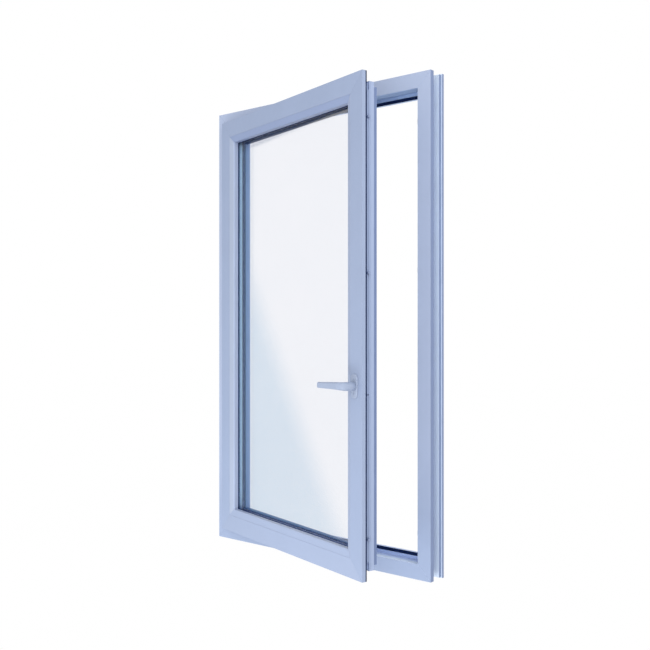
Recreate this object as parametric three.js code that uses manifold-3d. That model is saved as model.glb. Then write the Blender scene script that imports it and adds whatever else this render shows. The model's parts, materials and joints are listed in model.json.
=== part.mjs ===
// Inward-opening, side-hung casement window in thermally broken aluminium.
// Millimetres, +Z up. X runs along the window, Y from the room to the outside.
// The origin is on the underside of the sill, at mid-width, on the strip that the frame stands on.
// The sash is shown part open and the handle is horizontal, in its unlocked position.
import * as THREE from 'three';
import { mergeVertices } from 'three/addons/utils/BufferGeometryUtils.js';
import Module from 'manifold-3d';

const wasm = await Module();
wasm.setup();

// ---- Driving dimensions ----

const GAP = 0.3;                    // between a piece and the neighbour it is fitted to
const WALL = 2;                     // wall of the aluminium shells

const FRAME_WIDTH = 900;
const FRAME_HEIGHT = 1500;
const FRAME_DEPTH = 70;
const FRAME_FACE = 46;              // room-side face, from the outer edge to the rebate
const FRAME_BOARD = 16;             // thickness of the frame's inner board at its outer edge
const CHANNEL_FLOOR = 24;           // depth of the channel round the frame's outer side
const STOP_DEPTH = 45;              // rebate stop, behind the frame's room-side face
const FRAME_SIGHT = 62;             // outer edge to the clear opening, on the outside
const ORIGIN_DEPTH = 8;             // origin behind the frame's room-side face

const SASH_MARGIN = 38;             // frame's outer edge to the sash flange's edge
const FLANGE = 12;                  // thickness of the sash's overlapping flange
const FLANGE_LAP = 21;              // flange's edge to the side of the sash body
const SASH_PROUD = 17.5;            // sash face in front of the frame face, when shut
const SASH_FACE = 56;               // flange's edge to the glazing bead
const SASH_DEPTH = 76;
const SHOULDER_DEPTH = 58;          // shoulder that shuts on the central seal
const REAR_INSET = 32;              // flange's edge to the side of the narrower rear part
const SASH_SIGHT = 78;              // flange's edge to the visible glass

const BEAD_DEPTH = 22.3;
const GLASS_FRONT = 27;             // first glass surface, behind the sash face
const PANE = 3.9;
const CAVITY = 12.2;
const GLASS_INSET = 61;             // flange's edge to the glass edge
const LEG_FRONT = 51;               // leg that holds the glass from outside

const GROOVE_FRONT = 32;            // hardware groove in the side of the sash body
const GROOVE_BACK = 40;
const GROOVE_FLOOR = 25.8;

const OPEN_ANGLE = 15.2;            // degrees, sash as shown
const HINGE_SETBACK = 9;            // hinge axis outside the flange's edge
const HINGE_PROUD = 6.5;            // hinge axis in front of the frame's face
const BARREL_RADIUS = 6;
const HINGE_HEIGHTS = { lower: 190, upper: 1310 };

const HANDLE_HEIGHT = 581;          // above the frame's underside
const ROD_TRAVEL = 16;              // for a quarter turn of the handle
const CAM_HEIGHTS = { bottom: 150, middle: 900, top: 1340 };

// ---- Values worked out from them ----

const SASH_WIDTH = FRAME_WIDTH - 2 * SASH_MARGIN;
const SASH_HEIGHT = FRAME_HEIGHT - 2 * SASH_MARGIN;
const MIDDLE = FRAME_HEIGHT / 2;
const PITCH_RADIUS = ROD_TRAVEL / (Math.PI / 2);

// ---- Finishes ----

const LOOKS = {
  shell: { color: 0xaebbdc, roughness: 0.45, metalness: 0.1 },
  thermal: { color: 0x9dacd0, roughness: 0.6, metalness: 0 },
  bead: { color: 0xb2bfdd, roughness: 0.45, metalness: 0.1 },
  seal: { color: 0x15192e, roughness: 0.75, metalness: 0 },
  glass: { color: 0xf1f3f8, roughness: 0.05, metalness: 0, transparent: true, opacity: 0.3 },
  spacer: { color: 0x93b0dc, roughness: 0.4, metalness: 0.6 },
  block: { color: 0x30384c, roughness: 0.7, metalness: 0 },
  handle: { color: 0xadbad5, roughness: 0.35, metalness: 0.2 },
  steel: { color: 0xa9b1c4, roughness: 0.35, metalness: 0.9 },
};

// ---- Geometry helpers ----

// Plain geometry from a flat list of corner coordinates, three corners to a triangle.
function fromCorners(corners) {
  const geometry = new THREE.BufferGeometry();
  geometry.setAttribute('position', new THREE.Float32BufferAttribute(corners, 3));
  geometry.computeVertexNormals();
  return geometry;
}

// A section is a list of [inset, depth] points. Seen from the end of a run, depth is to the right.
function orderedLoop(section, clockwise) {
  const loop = section.map(([inset, depth]) => new THREE.Vector2(depth, inset));
  if (THREE.ShapeUtils.isClockWise(loop) !== clockwise) {
    loop.reverse();
  }
  return loop;
}

// Walls of one run of a section: cornerAt gives the run's start (0) or end (1) for a section point.
function pushWalls(corners, loop, cornerAt) {
  loop.forEach((from, index) => {
    const to = loop[(index + 1) % loop.length];
    const near = cornerAt(from, 0);
    const nearNext = cornerAt(to, 0);
    const far = cornerAt(from, 1);
    const farNext = cornerAt(to, 1);
    corners.push(...near, ...nearNext, ...farNext, ...near, ...farNext, ...far);
  });
}

// A straight bar along X with its ends mitred at 45 degrees; inset is along +Z, depth along +Y.
function mitredBar(section, chambers, span) {
  const outline = orderedLoop(section, false);
  const holes = chambers.map((chamber) => orderedLoop(chamber, true));
  const corners = [];
  const cornerAt = (point, end) => {
    const reach = span / 2 - point.y - GAP / 2;
    return [end ? reach : -reach, point.x, point.y];
  };
  [outline, ...holes].forEach((loop) => pushWalls(corners, loop, cornerAt));
  const points = [outline, ...holes].flat();
  THREE.ShapeUtils.triangulateShape(outline, holes).forEach(([a, b, c]) => {
    corners.push(...cornerAt(points[a], 1), ...cornerAt(points[b], 1), ...cornerAt(points[c], 1));
    corners.push(...cornerAt(points[c], 0), ...cornerAt(points[b], 0), ...cornerAt(points[a], 0));
  });
  return fromCorners(corners);
}

// A rectangular ring of one section, mitred at its four corners and closed on itself.
function mitredRing(section, width, height) {
  const outline = orderedLoop(section, false);
  const signs = [[-1, -1], [1, -1], [1, 1], [-1, 1]];
  const corners = [];
  signs.forEach((sign, index) => {
    const nextSign = signs[(index + 1) % signs.length];
    pushWalls(corners, outline, (point, end) => {
      const [across, up] = end ? nextSign : sign;
      return [across * (width / 2 - point.y), point.x, up * (height / 2 - point.y)];
    });
  });
  return fromCorners(corners);
}

// A block between two opposite corners.
function block(low, high) {
  const size = high.map((value, axis) => value - low[axis]);
  const geometry = new THREE.BoxGeometry(...size);
  geometry.translate(...low.map((value, axis) => value + size[axis] / 2));
  return geometry;
}

// A round bar from a profile of [radius, height] points, standing on the XY plane.
function turned(profile, segments = 24) {
  const geometry = new THREE.LatheGeometry(profile.map(([r, z]) => new THREE.Vector2(r, z)), segments);
  geometry.rotateX(Math.PI / 2);
  return geometry;
}

// A plain cylinder along Z, from one height to another.
function cylinder(radius, low, high, segments = 24) {
  return turned([[0, low], [radius, low], [radius, high], [0, high]], segments);
}

// A flat piece with its outline in the XZ plane, and its thickness along Y.
function plate(outline, front, back, bevel = 0) {
  const shape = new THREE.Shape(outline.map(([x, z]) => new THREE.Vector2(x, z)));
  const settings = { depth: back - front - 2 * bevel, bevelEnabled: bevel > 0, steps: 1 };
  Object.assign(settings, { bevelSize: bevel, bevelThickness: bevel, bevelOffset: -bevel, bevelSegments: 2 });
  const geometry = new THREE.ExtrudeGeometry(shape, settings);
  geometry.rotateX(Math.PI / 2);
  geometry.translate(0, back - bevel, 0);
  return geometry;
}

// A rectangle with round corners, as [x, z] points about its centre.
function roundedRectangle(width, height, radius, steps = 5) {
  const points = [];
  [[1, -1], [1, 1], [-1, 1], [-1, -1]].forEach(([across, up], corner) => {
    for (let step = 0; step <= steps; step += 1) {
      const angle = (corner - 1 + step / steps) * Math.PI / 2;
      const x = across * (width / 2 - radius) + radius * Math.cos(angle);
      const z = up * (height / 2 - radius) + radius * Math.sin(angle);
      points.push([x, z]);
    }
  });
  return points;
}

// ---- Joining and cutting ----

function toSolid(geometry) {
  const bare = geometry.clone();
  bare.deleteAttribute('normal');
  bare.deleteAttribute('uv');
  const merged = mergeVertices(bare, 1e-4);
  const vertProperties = new Float32Array(merged.attributes.position.array);
  const triVerts = new Uint32Array(merged.index.array);
  return new wasm.Manifold(new wasm.Mesh({ numProp: 3, vertProperties, triVerts }));
}

function toGeometry(solid) {
  const mesh = solid.getMesh();
  const geometry = new THREE.BufferGeometry();
  geometry.setAttribute('position', new THREE.BufferAttribute(new Float32Array(mesh.vertProperties), 3));
  geometry.setIndex(new THREE.BufferAttribute(new Uint32Array(mesh.triVerts), 1));
  const flat = geometry.toNonIndexed();
  flat.computeVertexNormals();
  return flat;
}

function join(first, ...others) {
  return toGeometry(others.reduce((solid, other) => solid.add(toSolid(other)), toSolid(first)));
}

function cut(first, ...others) {
  return toGeometry(others.reduce((solid, other) => solid.subtract(toSolid(other)), toSolid(first)));
}

// ---- Assembly helpers ----

function place(group, name, geometry, look) {
  const mesh = new THREE.Mesh(geometry, new THREE.MeshStandardMaterial(LOOKS[look]));
  mesh.name = name;
  group.add(mesh);
  return mesh;
}

// The four edges of a rectangle: the turn about Y that brings +Z to point inwards from each.
const EDGES = {
  bottom: { turn: 0, upright: false },
  lock: { turn: -Math.PI / 2, upright: true },
  top: { turn: Math.PI, upright: false },
  hinge: { turn: Math.PI / 2, upright: true },
};

// A group on one edge of a rectangle: X runs along the edge, Y is depth and Z points inwards.
// On the lock edge X points up.
function edgeGroup(parent, edge, width, height) {
  const { turn, upright } = EDGES[edge];
  const inwards = new THREE.Vector3(Math.sin(turn), 0, Math.cos(turn));
  const group = new THREE.Group();
  group.rotation.y = turn;
  group.position.copy(inwards.multiplyScalar(-(upright ? width : height) / 2));
  parent.add(group);
  return group;
}

// ---- Groups ----

const group = new THREE.Group();

const frame = new THREE.Group();
frame.position.set(0, -ORIGIN_DEPTH, MIDDLE);
group.add(frame);

// The hinge axis, from the middle of the frame's face.
const hingeX = -FRAME_WIDTH / 2 + SASH_MARGIN - HINGE_SETBACK;
const hingeY = -HINGE_PROUD;

const pivot = new THREE.Group();
pivot.position.set(hingeX, hingeY, 0);
pivot.rotation.z = -THREE.MathUtils.degToRad(OPEN_ANGLE);
frame.add(pivot);

const sash = new THREE.Group();
sash.position.set(-hingeX, -SASH_PROUD - hingeY, 0);
pivot.add(sash);

// ---- Frame members ----

const FRAME_MEMBERS = { bottom: 'sill', lock: 'lock_jamb', top: 'head', hinge: 'hinge_jamb' };
const FRAME_INNER_DEPTH = 20;       // back of the inner shell, next to the rebate
const CHANNEL_BACK = 49;            // back wall of the outer channel
const LIP_FRONT = 60.5;             // lip at the back edge
const LIP_STEP = 3.4;               // side of the outer shell in front of the lip, from the outer edge
const SEAL_GROOVE = { from: 56.5, to: 60, depth: 3.5 };
const DRAIN_SLOT = { length: 28, height: 5, low: 30 };
const DRAIN_PLACES = [-280, 0, 280];

function frameInnerShell() {
  const outline = [
    [0, 0], [FRAME_FACE, 0], [FRAME_FACE, FRAME_INNER_DEPTH], [CHANNEL_FLOOR - WALL, FRAME_INNER_DEPTH],
    [CHANNEL_FLOOR - WALL, FRAME_BOARD], [0, FRAME_BOARD],
  ];
  const outerChamber = [
    [WALL, WALL], [CHANNEL_FLOOR - WALL, WALL],
    [CHANNEL_FLOOR - WALL, FRAME_BOARD - WALL], [WALL, FRAME_BOARD - WALL],
  ];
  const innerChamber = [
    [CHANNEL_FLOOR, WALL], [FRAME_FACE - WALL, WALL],
    [FRAME_FACE - WALL, FRAME_INNER_DEPTH - WALL], [CHANNEL_FLOOR, FRAME_INNER_DEPTH - WALL],
  ];
  return [outline, [outerChamber, innerChamber]];
}

function frameThermalBar() {
  const front = FRAME_INNER_DEPTH + GAP;
  const back = STOP_DEPTH - GAP;
  const middle = (CHANNEL_FLOOR + FRAME_FACE) / 2;
  const outline = [[CHANNEL_FLOOR, front], [FRAME_FACE, front], [FRAME_FACE, back], [CHANNEL_FLOOR, back]];
  const chamber = (from, to) => [
    [from, front + WALL], [to, front + WALL], [to, back - WALL], [from, back - WALL],
  ];
  const outer = chamber(CHANNEL_FLOOR + WALL, middle - WALL / 2);
  const inner = chamber(middle + WALL / 2, FRAME_FACE - WALL);
  return [outline, [outer, inner]];
}

function frameOuterShell() {
  const grooveFloor = STOP_DEPTH + SEAL_GROOVE.depth;
  const chamberFront = grooveFloor + WALL;
  const outline = [
    [CHANNEL_FLOOR, STOP_DEPTH], [SEAL_GROOVE.from, STOP_DEPTH], [SEAL_GROOVE.from, grooveFloor],
    [SEAL_GROOVE.to, grooveFloor], [SEAL_GROOVE.to, STOP_DEPTH], [FRAME_SIGHT - 0.6, STOP_DEPTH],
    [FRAME_SIGHT, STOP_DEPTH + 0.6], [FRAME_SIGHT, FRAME_DEPTH], [0, FRAME_DEPTH], [0, LIP_FRONT],
    [LIP_STEP, LIP_FRONT], [LIP_STEP, CHANNEL_BACK], [CHANNEL_FLOOR, CHANNEL_BACK],
  ];
  const back = FRAME_DEPTH - WALL;
  const outerChamber = [
    [LIP_STEP + WALL, CHANNEL_BACK + WALL], [CHANNEL_FLOOR, CHANNEL_BACK + WALL],
    [CHANNEL_FLOOR, back], [LIP_STEP + WALL, back],
  ];
  const innerChamber = [
    [CHANNEL_FLOOR + WALL, STOP_DEPTH + WALL], [SEAL_GROOVE.from - WALL, STOP_DEPTH + WALL],
    [SEAL_GROOVE.from - WALL, chamberFront], [FRAME_SIGHT - WALL, chamberFront],
    [FRAME_SIGHT - WALL, back], [CHANNEL_FLOOR + WALL, back],
  ];
  return [outline, [outerChamber, innerChamber]];
}

// Drainage slots through the sill's outside wall, above the chamber's floor.
function drainedOuterShell(bar) {
  const slots = DRAIN_PLACES.map((across) => {
    const half = DRAIN_SLOT.length / 2;
    const low = [across - half, FRAME_DEPTH - WALL - 1, DRAIN_SLOT.low];
    return block(low, [across + half, FRAME_DEPTH + 1, DRAIN_SLOT.low + DRAIN_SLOT.height]);
  });
  return cut(bar, ...slots);
}

const FRAME_PARTS = {
  inner_shell: { section: frameInnerShell(), look: 'shell' },
  thermal_bar: { section: frameThermalBar(), look: 'thermal' },
  outer_shell: { section: frameOuterShell(), look: 'shell', machine: drainedOuterShell },
};

Object.entries(FRAME_MEMBERS).forEach(([edge, member]) => {
  const edgeFrame = edgeGroup(frame, edge, FRAME_WIDTH, FRAME_HEIGHT);
  const span = EDGES[edge].upright ? FRAME_HEIGHT : FRAME_WIDTH;
  Object.entries(FRAME_PARTS).forEach(([part, { section, look, machine }]) => {
    const bar = mitredBar(...section, span);
    const finished = edge === 'bottom' && machine ? machine(bar) : bar;
    place(edgeFrame, `frame_${member}_${part}`, finished, look);
  });
});

// ---- Central seal: a foot in the groove of the rebate stop and a lip towards the opening ----

function centralSeal() {
  const { from, to, depth } = SEAL_GROOVE;
  const foot = STOP_DEPTH + depth - GAP;
  const under = STOP_DEPTH - GAP;
  const top = SHOULDER_DEPTH - SASH_PROUD + GAP;
  const tip = REAR_INSET + SASH_MARGIN - 3;
  return [
    [from + GAP, foot], [from + GAP, top + 1.1], [to, top], [tip - 1, top], [tip, top + 1],
    [tip, top + 2.4], [tip - 1, under], [to - GAP, under], [to - GAP, foot],
  ];
}

place(frame, 'central_seal', mitredRing(centralSeal(), FRAME_WIDTH, FRAME_HEIGHT), 'seal');

// ---- Sash members ----

const SASH_MEMBERS = { bottom: 'bottom_rail', lock: 'lock_stile', top: 'top_rail', hinge: 'hinge_stile' };
const STOP_GROOVE = { from: 2.6, to: 5.6, depth: 2.6 };
const GLAZING_GROOVE = { from: 68, to: 71.4, depth: 3 };
const SASH_BREAK = 45;              // joint of the thermal bar and the outer shell

function sashInnerShell() {
  const grooveFloor = FLANGE - STOP_GROOVE.depth;
  const outline = [
    [0, 0], [SASH_FACE, 0], [SASH_FACE, GROOVE_FRONT], [FLANGE_LAP, GROOVE_FRONT], [FLANGE_LAP, FLANGE],
    [STOP_GROOVE.to, FLANGE], [STOP_GROOVE.to, grooveFloor], [STOP_GROOVE.from, grooveFloor],
    [STOP_GROOVE.from, FLANGE], [0, FLANGE],
  ];
  const bodyChamber = [
    [FLANGE_LAP + WALL, WALL], [SASH_FACE - WALL, WALL],
    [SASH_FACE - WALL, GROOVE_FRONT - WALL], [FLANGE_LAP + WALL, GROOVE_FRONT - WALL],
  ];
  const flangeChamber = [
    [STOP_GROOVE.to + WALL, WALL], [FLANGE_LAP, WALL],
    [FLANGE_LAP, FLANGE - WALL], [STOP_GROOVE.to + WALL, FLANGE - WALL],
  ];
  return [outline, [bodyChamber, flangeChamber]];
}

function sashThermalBar() {
  const front = GROOVE_FRONT + GAP;
  const back = SASH_BREAK - GAP;
  const outline = [
    [GROOVE_FLOOR, front], [SASH_FACE, front], [SASH_FACE, back],
    [FLANGE_LAP, back], [FLANGE_LAP, GROOVE_BACK], [GROOVE_FLOOR, GROOVE_BACK],
  ];
  const middle = (GROOVE_FLOOR + SASH_FACE) / 2;
  const chamber = (from, to) => [
    [from, front + WALL], [to, front + WALL], [to, back - WALL], [from, back - WALL],
  ];
  const outer = chamber(GROOVE_FLOOR + WALL, middle - WALL / 2);
  const inner = chamber(middle + WALL / 2, SASH_FACE - WALL);
  return [outline, [outer, inner]];
}

function sashOuterShell() {
  const { from, to, depth } = GLAZING_GROOVE;
  const grooveFloor = LEG_FRONT + depth;
  const noseDepth = 67;             // the leg slopes back from here to its outer face
  const noseInset = SASH_SIGHT - 3.5;
  const outline = [
    [FLANGE_LAP, SASH_BREAK], [SASH_FACE, SASH_BREAK], [SASH_FACE, LEG_FRONT], [from, LEG_FRONT],
    [from, grooveFloor], [to, grooveFloor], [to, LEG_FRONT], [SASH_SIGHT - 1, LEG_FRONT],
    [SASH_SIGHT, LEG_FRONT + 1], [SASH_SIGHT, noseDepth], [noseInset, SASH_DEPTH],
    [REAR_INSET, SASH_DEPTH], [REAR_INSET, SHOULDER_DEPTH], [FLANGE_LAP, SHOULDER_DEPTH],
  ];
  const chamber = [
    [FLANGE_LAP + WALL, SASH_BREAK + WALL], [SASH_FACE - WALL, SASH_BREAK + WALL],
    [SASH_FACE - WALL, LEG_FRONT + WALL], [from - WALL, LEG_FRONT + WALL], [from - WALL, grooveFloor + WALL],
    [to + WALL, grooveFloor + WALL], [to + WALL, LEG_FRONT + WALL], [SASH_SIGHT - WALL, LEG_FRONT + WALL],
    [SASH_SIGHT - WALL, noseDepth], [noseInset - WALL, SASH_DEPTH - WALL],
    [REAR_INSET + WALL, SASH_DEPTH - WALL], [REAR_INSET + WALL, SHOULDER_DEPTH - WALL],
    [FLANGE_LAP + WALL, SHOULDER_DEPTH - WALL],
  ];
  return [outline, [chamber]];
}

// The bead's sloping face starts at the sash face and ends at a corner above the glass.
function glazingBead() {
  const { from, to, depth } = GLAZING_GROOVE;
  const start = SASH_FACE + GAP;
  const edge = SASH_SIGHT - 1;
  const grooveFloor = BEAD_DEPTH - depth;
  const outline = [
    [start, 0.2], [edge - 2, 5.8], [edge, 8.4], [edge, BEAD_DEPTH], [to, BEAD_DEPTH], [to, grooveFloor],
    [from, grooveFloor], [from, BEAD_DEPTH], [start, BEAD_DEPTH],
  ];
  const chamberBack = grooveFloor - WALL;
  const chamber = [
    [start + WALL, WALL + 0.8], [edge - 3, 5.8 + WALL], [edge - WALL, 9.4],
    [edge - WALL, chamberBack], [start + WALL, chamberBack],
  ];
  return [outline, [chamber]];
}

// ---- Handle axis and gearbox, in the lock edge's frame: X up, Y depth, Z inwards ----

const ROD = { near: 21.4, far: 25.4, front: 32.6, back: 39.6 };
const TEETH = 14;
const PITCH = 2 * Math.PI * PITCH_RADIUS / TEETH;
const PRESSURE_ANGLE = THREE.MathUtils.degToRad(20);
const BACKLASH = 0.5;
const RACK_HEAD = 1.0;              // tooth tip beyond the pitch line
const RACK_FOOT = 1.5;              // tooth root behind the pitch line
const handleUp = HANDLE_HEIGHT - MIDDLE;
const handleInset = ROD.far - RACK_HEAD + PITCH_RADIUS;
const SCREW_SPACING = 43;
const SCREW_RADIUS = 2.5;
const SPINDLE = 7;                  // across flats

const CASE = {
  low: [handleUp - 52, 29.6, 26],
  high: [handleUp + 32, 42.6, 51.2],
};
const SCREW_UPS = [-1, 1].map((side) => handleUp + side * SCREW_SPACING / 2);

// A round hole along the depth axis.
function depthHole(up, inset, radius, front, back) {
  const hole = cylinder(radius, front, back);
  hole.rotateX(-Math.PI / 2);
  hole.translate(up, 0, inset);
  return hole;
}

function casePocket() {
  const low = CASE.low.map((value) => value - GAP);
  const high = CASE.high.map((value) => value + GAP);
  low[2] = GROOVE_FLOOR - 1;
  return block(low, high);
}

// The lock stile's inner shell is drilled for the spindle and the handle screws, and routed for the case.
function machinedInnerShell(bar) {
  const throughFace = [-1, WALL + 1];
  const spindleHole = depthHole(handleUp, handleInset, 6.5, ...throughFace);
  const screwHoles = SCREW_UPS.map((up) => depthHole(up, handleInset, SCREW_RADIUS + GAP, ...throughFace));
  return cut(bar, casePocket(), spindleHole, ...screwHoles);
}

const SASH_PARTS = {
  inner_shell: { section: sashInnerShell(), look: 'shell', machine: machinedInnerShell },
  thermal_bar: { section: sashThermalBar(), look: 'thermal', machine: (bar) => cut(bar, casePocket()) },
  outer_shell: { section: sashOuterShell(), look: 'shell' },
};

const sashEdges = {};
Object.entries(SASH_MEMBERS).forEach(([edge, member]) => {
  const edgeSash = edgeGroup(sash, edge, SASH_WIDTH, SASH_HEIGHT);
  const span = EDGES[edge].upright ? SASH_HEIGHT : SASH_WIDTH;
  sashEdges[edge] = edgeSash;
  Object.entries(SASH_PARTS).forEach(([part, { section, look, machine }]) => {
    const bar = mitredBar(...section, span);
    const finished = edge === 'lock' && machine ? machine(bar) : bar;
    place(edgeSash, `sash_${member}_${part}`, finished, look);
  });
  place(edgeSash, `glazing_bead_${edge}`, mitredBar(...glazingBead(), span), 'bead');
});

// ---- Sash seals ----

function stopSeal() {
  const { from, to, depth } = STOP_GROOVE;
  const under = FLANGE + GAP;
  const foot = FLANGE - depth + GAP;
  const top = SASH_PROUD - GAP;
  return [
    [0.2, under], [0.2, top - 1.2], [1.4, top], [4.4, top], [7, under + 1.6], [7, under],
    [to - GAP, under], [to - GAP, foot], [from + GAP, foot], [from + GAP, under],
  ];
}

function innerGlazingSeal() {
  const { from, to, depth } = GLAZING_GROOVE;
  const under = BEAD_DEPTH + GAP;
  const foot = under - depth;
  const top = GLASS_FRONT - GAP;
  return [
    [from - 1.5, under], [from + GAP, under], [from + GAP, foot], [to - GAP, foot], [to - GAP, under],
    [SASH_SIGHT - 0.6, under], [SASH_SIGHT + 0.2, under + 1.4], [SASH_SIGHT - 0.4, top], [from - 1.5, top],
  ];
}

function outerGlazingSeal() {
  const { from, to, depth } = GLAZING_GROOVE;
  const under = LEG_FRONT - GAP;
  const foot = under + depth;
  const top = GLASS_FRONT + 2 * PANE + CAVITY + GAP;
  return [
    [from - 1.5, under], [from - 1.5, top], [SASH_SIGHT - 1.2, top], [SASH_SIGHT - 0.2, top + 1],
    [SASH_SIGHT - 0.2, under], [to - GAP, under], [to - GAP, foot], [from + GAP, foot], [from + GAP, under],
  ];
}

place(sash, 'stop_seal', mitredRing(stopSeal(), SASH_WIDTH, SASH_HEIGHT), 'seal');
place(sash, 'inner_glazing_seal', mitredRing(innerGlazingSeal(), SASH_WIDTH, SASH_HEIGHT), 'seal');
place(sash, 'outer_glazing_seal', mitredRing(outerGlazingSeal(), SASH_WIDTH, SASH_HEIGHT), 'seal');

// ---- Insulating glass ----

function pane(front) {
  const across = SASH_WIDTH / 2 - GLASS_INSET;
  const up = SASH_HEIGHT / 2 - GLASS_INSET;
  return block([-across, front, -up], [across, front + PANE, up]);
}

function spacerBar() {
  const front = GLASS_FRONT + PANE + GAP;
  const back = GLASS_FRONT + PANE + CAVITY - GAP;
  return [[68, front], [75, front], [75, back], [68, back]];
}

place(sash, 'inner_pane', pane(GLASS_FRONT), 'glass');
place(sash, 'outer_pane', pane(GLASS_FRONT + PANE + CAVITY), 'glass');
place(sash, 'spacer_bar', mitredRing(spacerBar(), SASH_WIDTH, SASH_HEIGHT), 'spacer');

// Setting blocks carry the glass on the bottom rail, near its ends.
function settingBlock(centre) {
  const back = GLASS_FRONT + 2 * PANE + CAVITY;
  const low = [centre - 50, GLASS_FRONT, SASH_FACE + GAP];
  const high = [centre + 50, back, GLASS_INSET - GAP];
  return block(low, high);
}

place(sashEdges.bottom, 'setting_block_hinge_side', settingBlock(-240), 'block');
place(sashEdges.bottom, 'setting_block_lock_side', settingBlock(240), 'block');

// ---- Hinges: two frame knuckles with the sash knuckle between them, on one pin ----

const HINGE_HEIGHT = 90;
const KNUCKLE = 30;
const KNUCKLE_GAP = 0.4;
const PIN_RADIUS = 2.8;
const LEAF_REACH = 12;              // frame leaf beyond the hinge axis

function frameLeaf() {
  const half = HINGE_HEIGHT / 2;
  const inner = KNUCKLE / 2;
  const leaf = block([-LEAF_REACH, HINGE_PROUD - 3.2, -half], [0, HINGE_PROUD - GAP, half]);
  const lower = cylinder(BARREL_RADIUS, -half, -inner);
  const upper = cylinder(BARREL_RADIUS, inner, half);
  const space = cylinder(BARREL_RADIUS + KNUCKLE_GAP, -inner, inner);
  const bore = cylinder(PIN_RADIUS + GAP, -half - 1, half + 1);
  return cut(join(leaf, lower, upper), space, bore);
}

// The sash leaf lies on the flange's edge; a short web ties it to its knuckle.
function sashLeaf() {
  const half = HINGE_HEIGHT / 2;
  const inner = KNUCKLE / 2 - KNUCKLE_GAP;
  const depthOf = (behindFace) => behindFace - SASH_PROUD + HINGE_PROUD;
  const leaf = block([HINGE_SETBACK - 2, depthOf(1), -half], [HINGE_SETBACK - GAP, depthOf(11), half]);
  const web = block([4, -3, -inner], [HINGE_SETBACK - 1, 1, inner]);
  const bore = cylinder(PIN_RADIUS + GAP, -inner - 1, inner + 1);
  return cut(join(leaf, web, cylinder(BARREL_RADIUS, -inner, inner)), bore);
}

function hingePin() {
  const half = HINGE_HEIGHT / 2;
  const head = half + GAP;
  return turned([
    [0, -half + 1], [PIN_RADIUS, -half + 1], [PIN_RADIUS, head], [BARREL_RADIUS - 0.4, head],
    [BARREL_RADIUS - 0.4, head + 2], [BARREL_RADIUS - 1.6, head + 3.2], [0, head + 3.6],
  ]);
}

Object.entries(HINGE_HEIGHTS).forEach(([position, height]) => {
  const up = height - MIDDLE;
  place(frame, `${position}_hinge_frame_leaf`, frameLeaf(), 'handle').position.set(hingeX, hingeY, up);
  place(frame, `${position}_hinge_pin`, hingePin(), 'steel').position.set(hingeX, hingeY, up);
  place(pivot, `${position}_hinge_sash_leaf`, sashLeaf(), 'handle').position.set(0, 0, up);
});

// ---- Drive rods: flat bars in the groove, with rack teeth at the pinion ----

// Rack teeth from one height to another; side is +1 where they point inwards and -1 outwards.
function rackTeeth(pitchLine, side, first, last) {
  const points = [];
  const slope = Math.tan(PRESSURE_ANGLE);
  const half = PITCH / 4 - BACKLASH / 2;
  for (let tooth = first; tooth <= last; tooth += 1) {
    const centre = (tooth + 0.5) * PITCH;
    const root = half + RACK_FOOT * slope;
    const tip = half - RACK_HEAD * slope;
    points.push([centre - root, pitchLine - side * RACK_FOOT], [centre - tip, pitchLine + side * RACK_HEAD]);
    points.push([centre + tip, pitchLine + side * RACK_HEAD], [centre + root, pitchLine - side * RACK_FOOT]);
  }
  return points;
}

const nearPitchLine = handleInset - PITCH_RADIUS;
const farPitchLine = handleInset + PITCH_RADIUS;
const ROD_TOP = 1416 - MIDDLE - handleUp;
const ROD_BOTTOM = 84 - MIDDLE - handleUp;

// Outlines have the handle axis's height as their zero.
function upperRod() {
  const end = -24;
  return [
    [ROD_TOP, ROD.near], [end, ROD.near], [end, nearPitchLine - RACK_FOOT],
    ...rackTeeth(nearPitchLine, 1, -5, 1),
    [9, nearPitchLine - RACK_FOOT], [9, ROD.far], [ROD_TOP, ROD.far],
  ];
}

function lowerRod() {
  const armLow = -30;
  const armHigh = -26;
  const rackTop = 24.6;
  const back = farPitchLine + 3.5;
  return [
    [ROD_BOTTOM, ROD.near], [ROD_BOTTOM, ROD.far], [armLow, ROD.far], [armLow, back], [rackTop, back],
    [rackTop, farPitchLine + RACK_FOOT], ...rackTeeth(farPitchLine, -1, -2, 4).reverse(),
    [armHigh, farPitchLine + RACK_FOOT], [armHigh, ROD.near],
  ];
}

const lockEdge = sashEdges.lock;
const handleGroup = new THREE.Group();
handleGroup.position.set(handleUp, 0, 0);
lockEdge.add(handleGroup);

place(handleGroup, 'upper_drive_rod', plate(upperRod(), ROD.front, ROD.back), 'steel');
place(handleGroup, 'lower_drive_rod', plate(lowerRod(), ROD.front, ROD.back), 'steel');

// ---- Gearbox: a case open towards the groove, and the pinion that drives both rods ----

function gearboxCase() {
  const outer = block(CASE.low, CASE.high);
  const innerLow = CASE.low.map((value) => value + WALL);
  const innerHigh = CASE.high.map((value) => value - WALL);
  innerLow[2] = CASE.low[2] - 1;
  const throughWall = [CASE.low[1] - 1, CASE.low[1] + WALL + 1];
  const spindleHole = depthHole(handleUp, handleInset, 6.5, ...throughWall);
  const screwHoles = SCREW_UPS.map((up) => depthHole(up, handleInset, SCREW_RADIUS + GAP, ...throughWall));
  return cut(outer, block(innerLow, innerHigh), spindleHole, ...screwHoles);
}

place(lockEdge, 'gearbox_case', gearboxCase(), 'steel');

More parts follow.
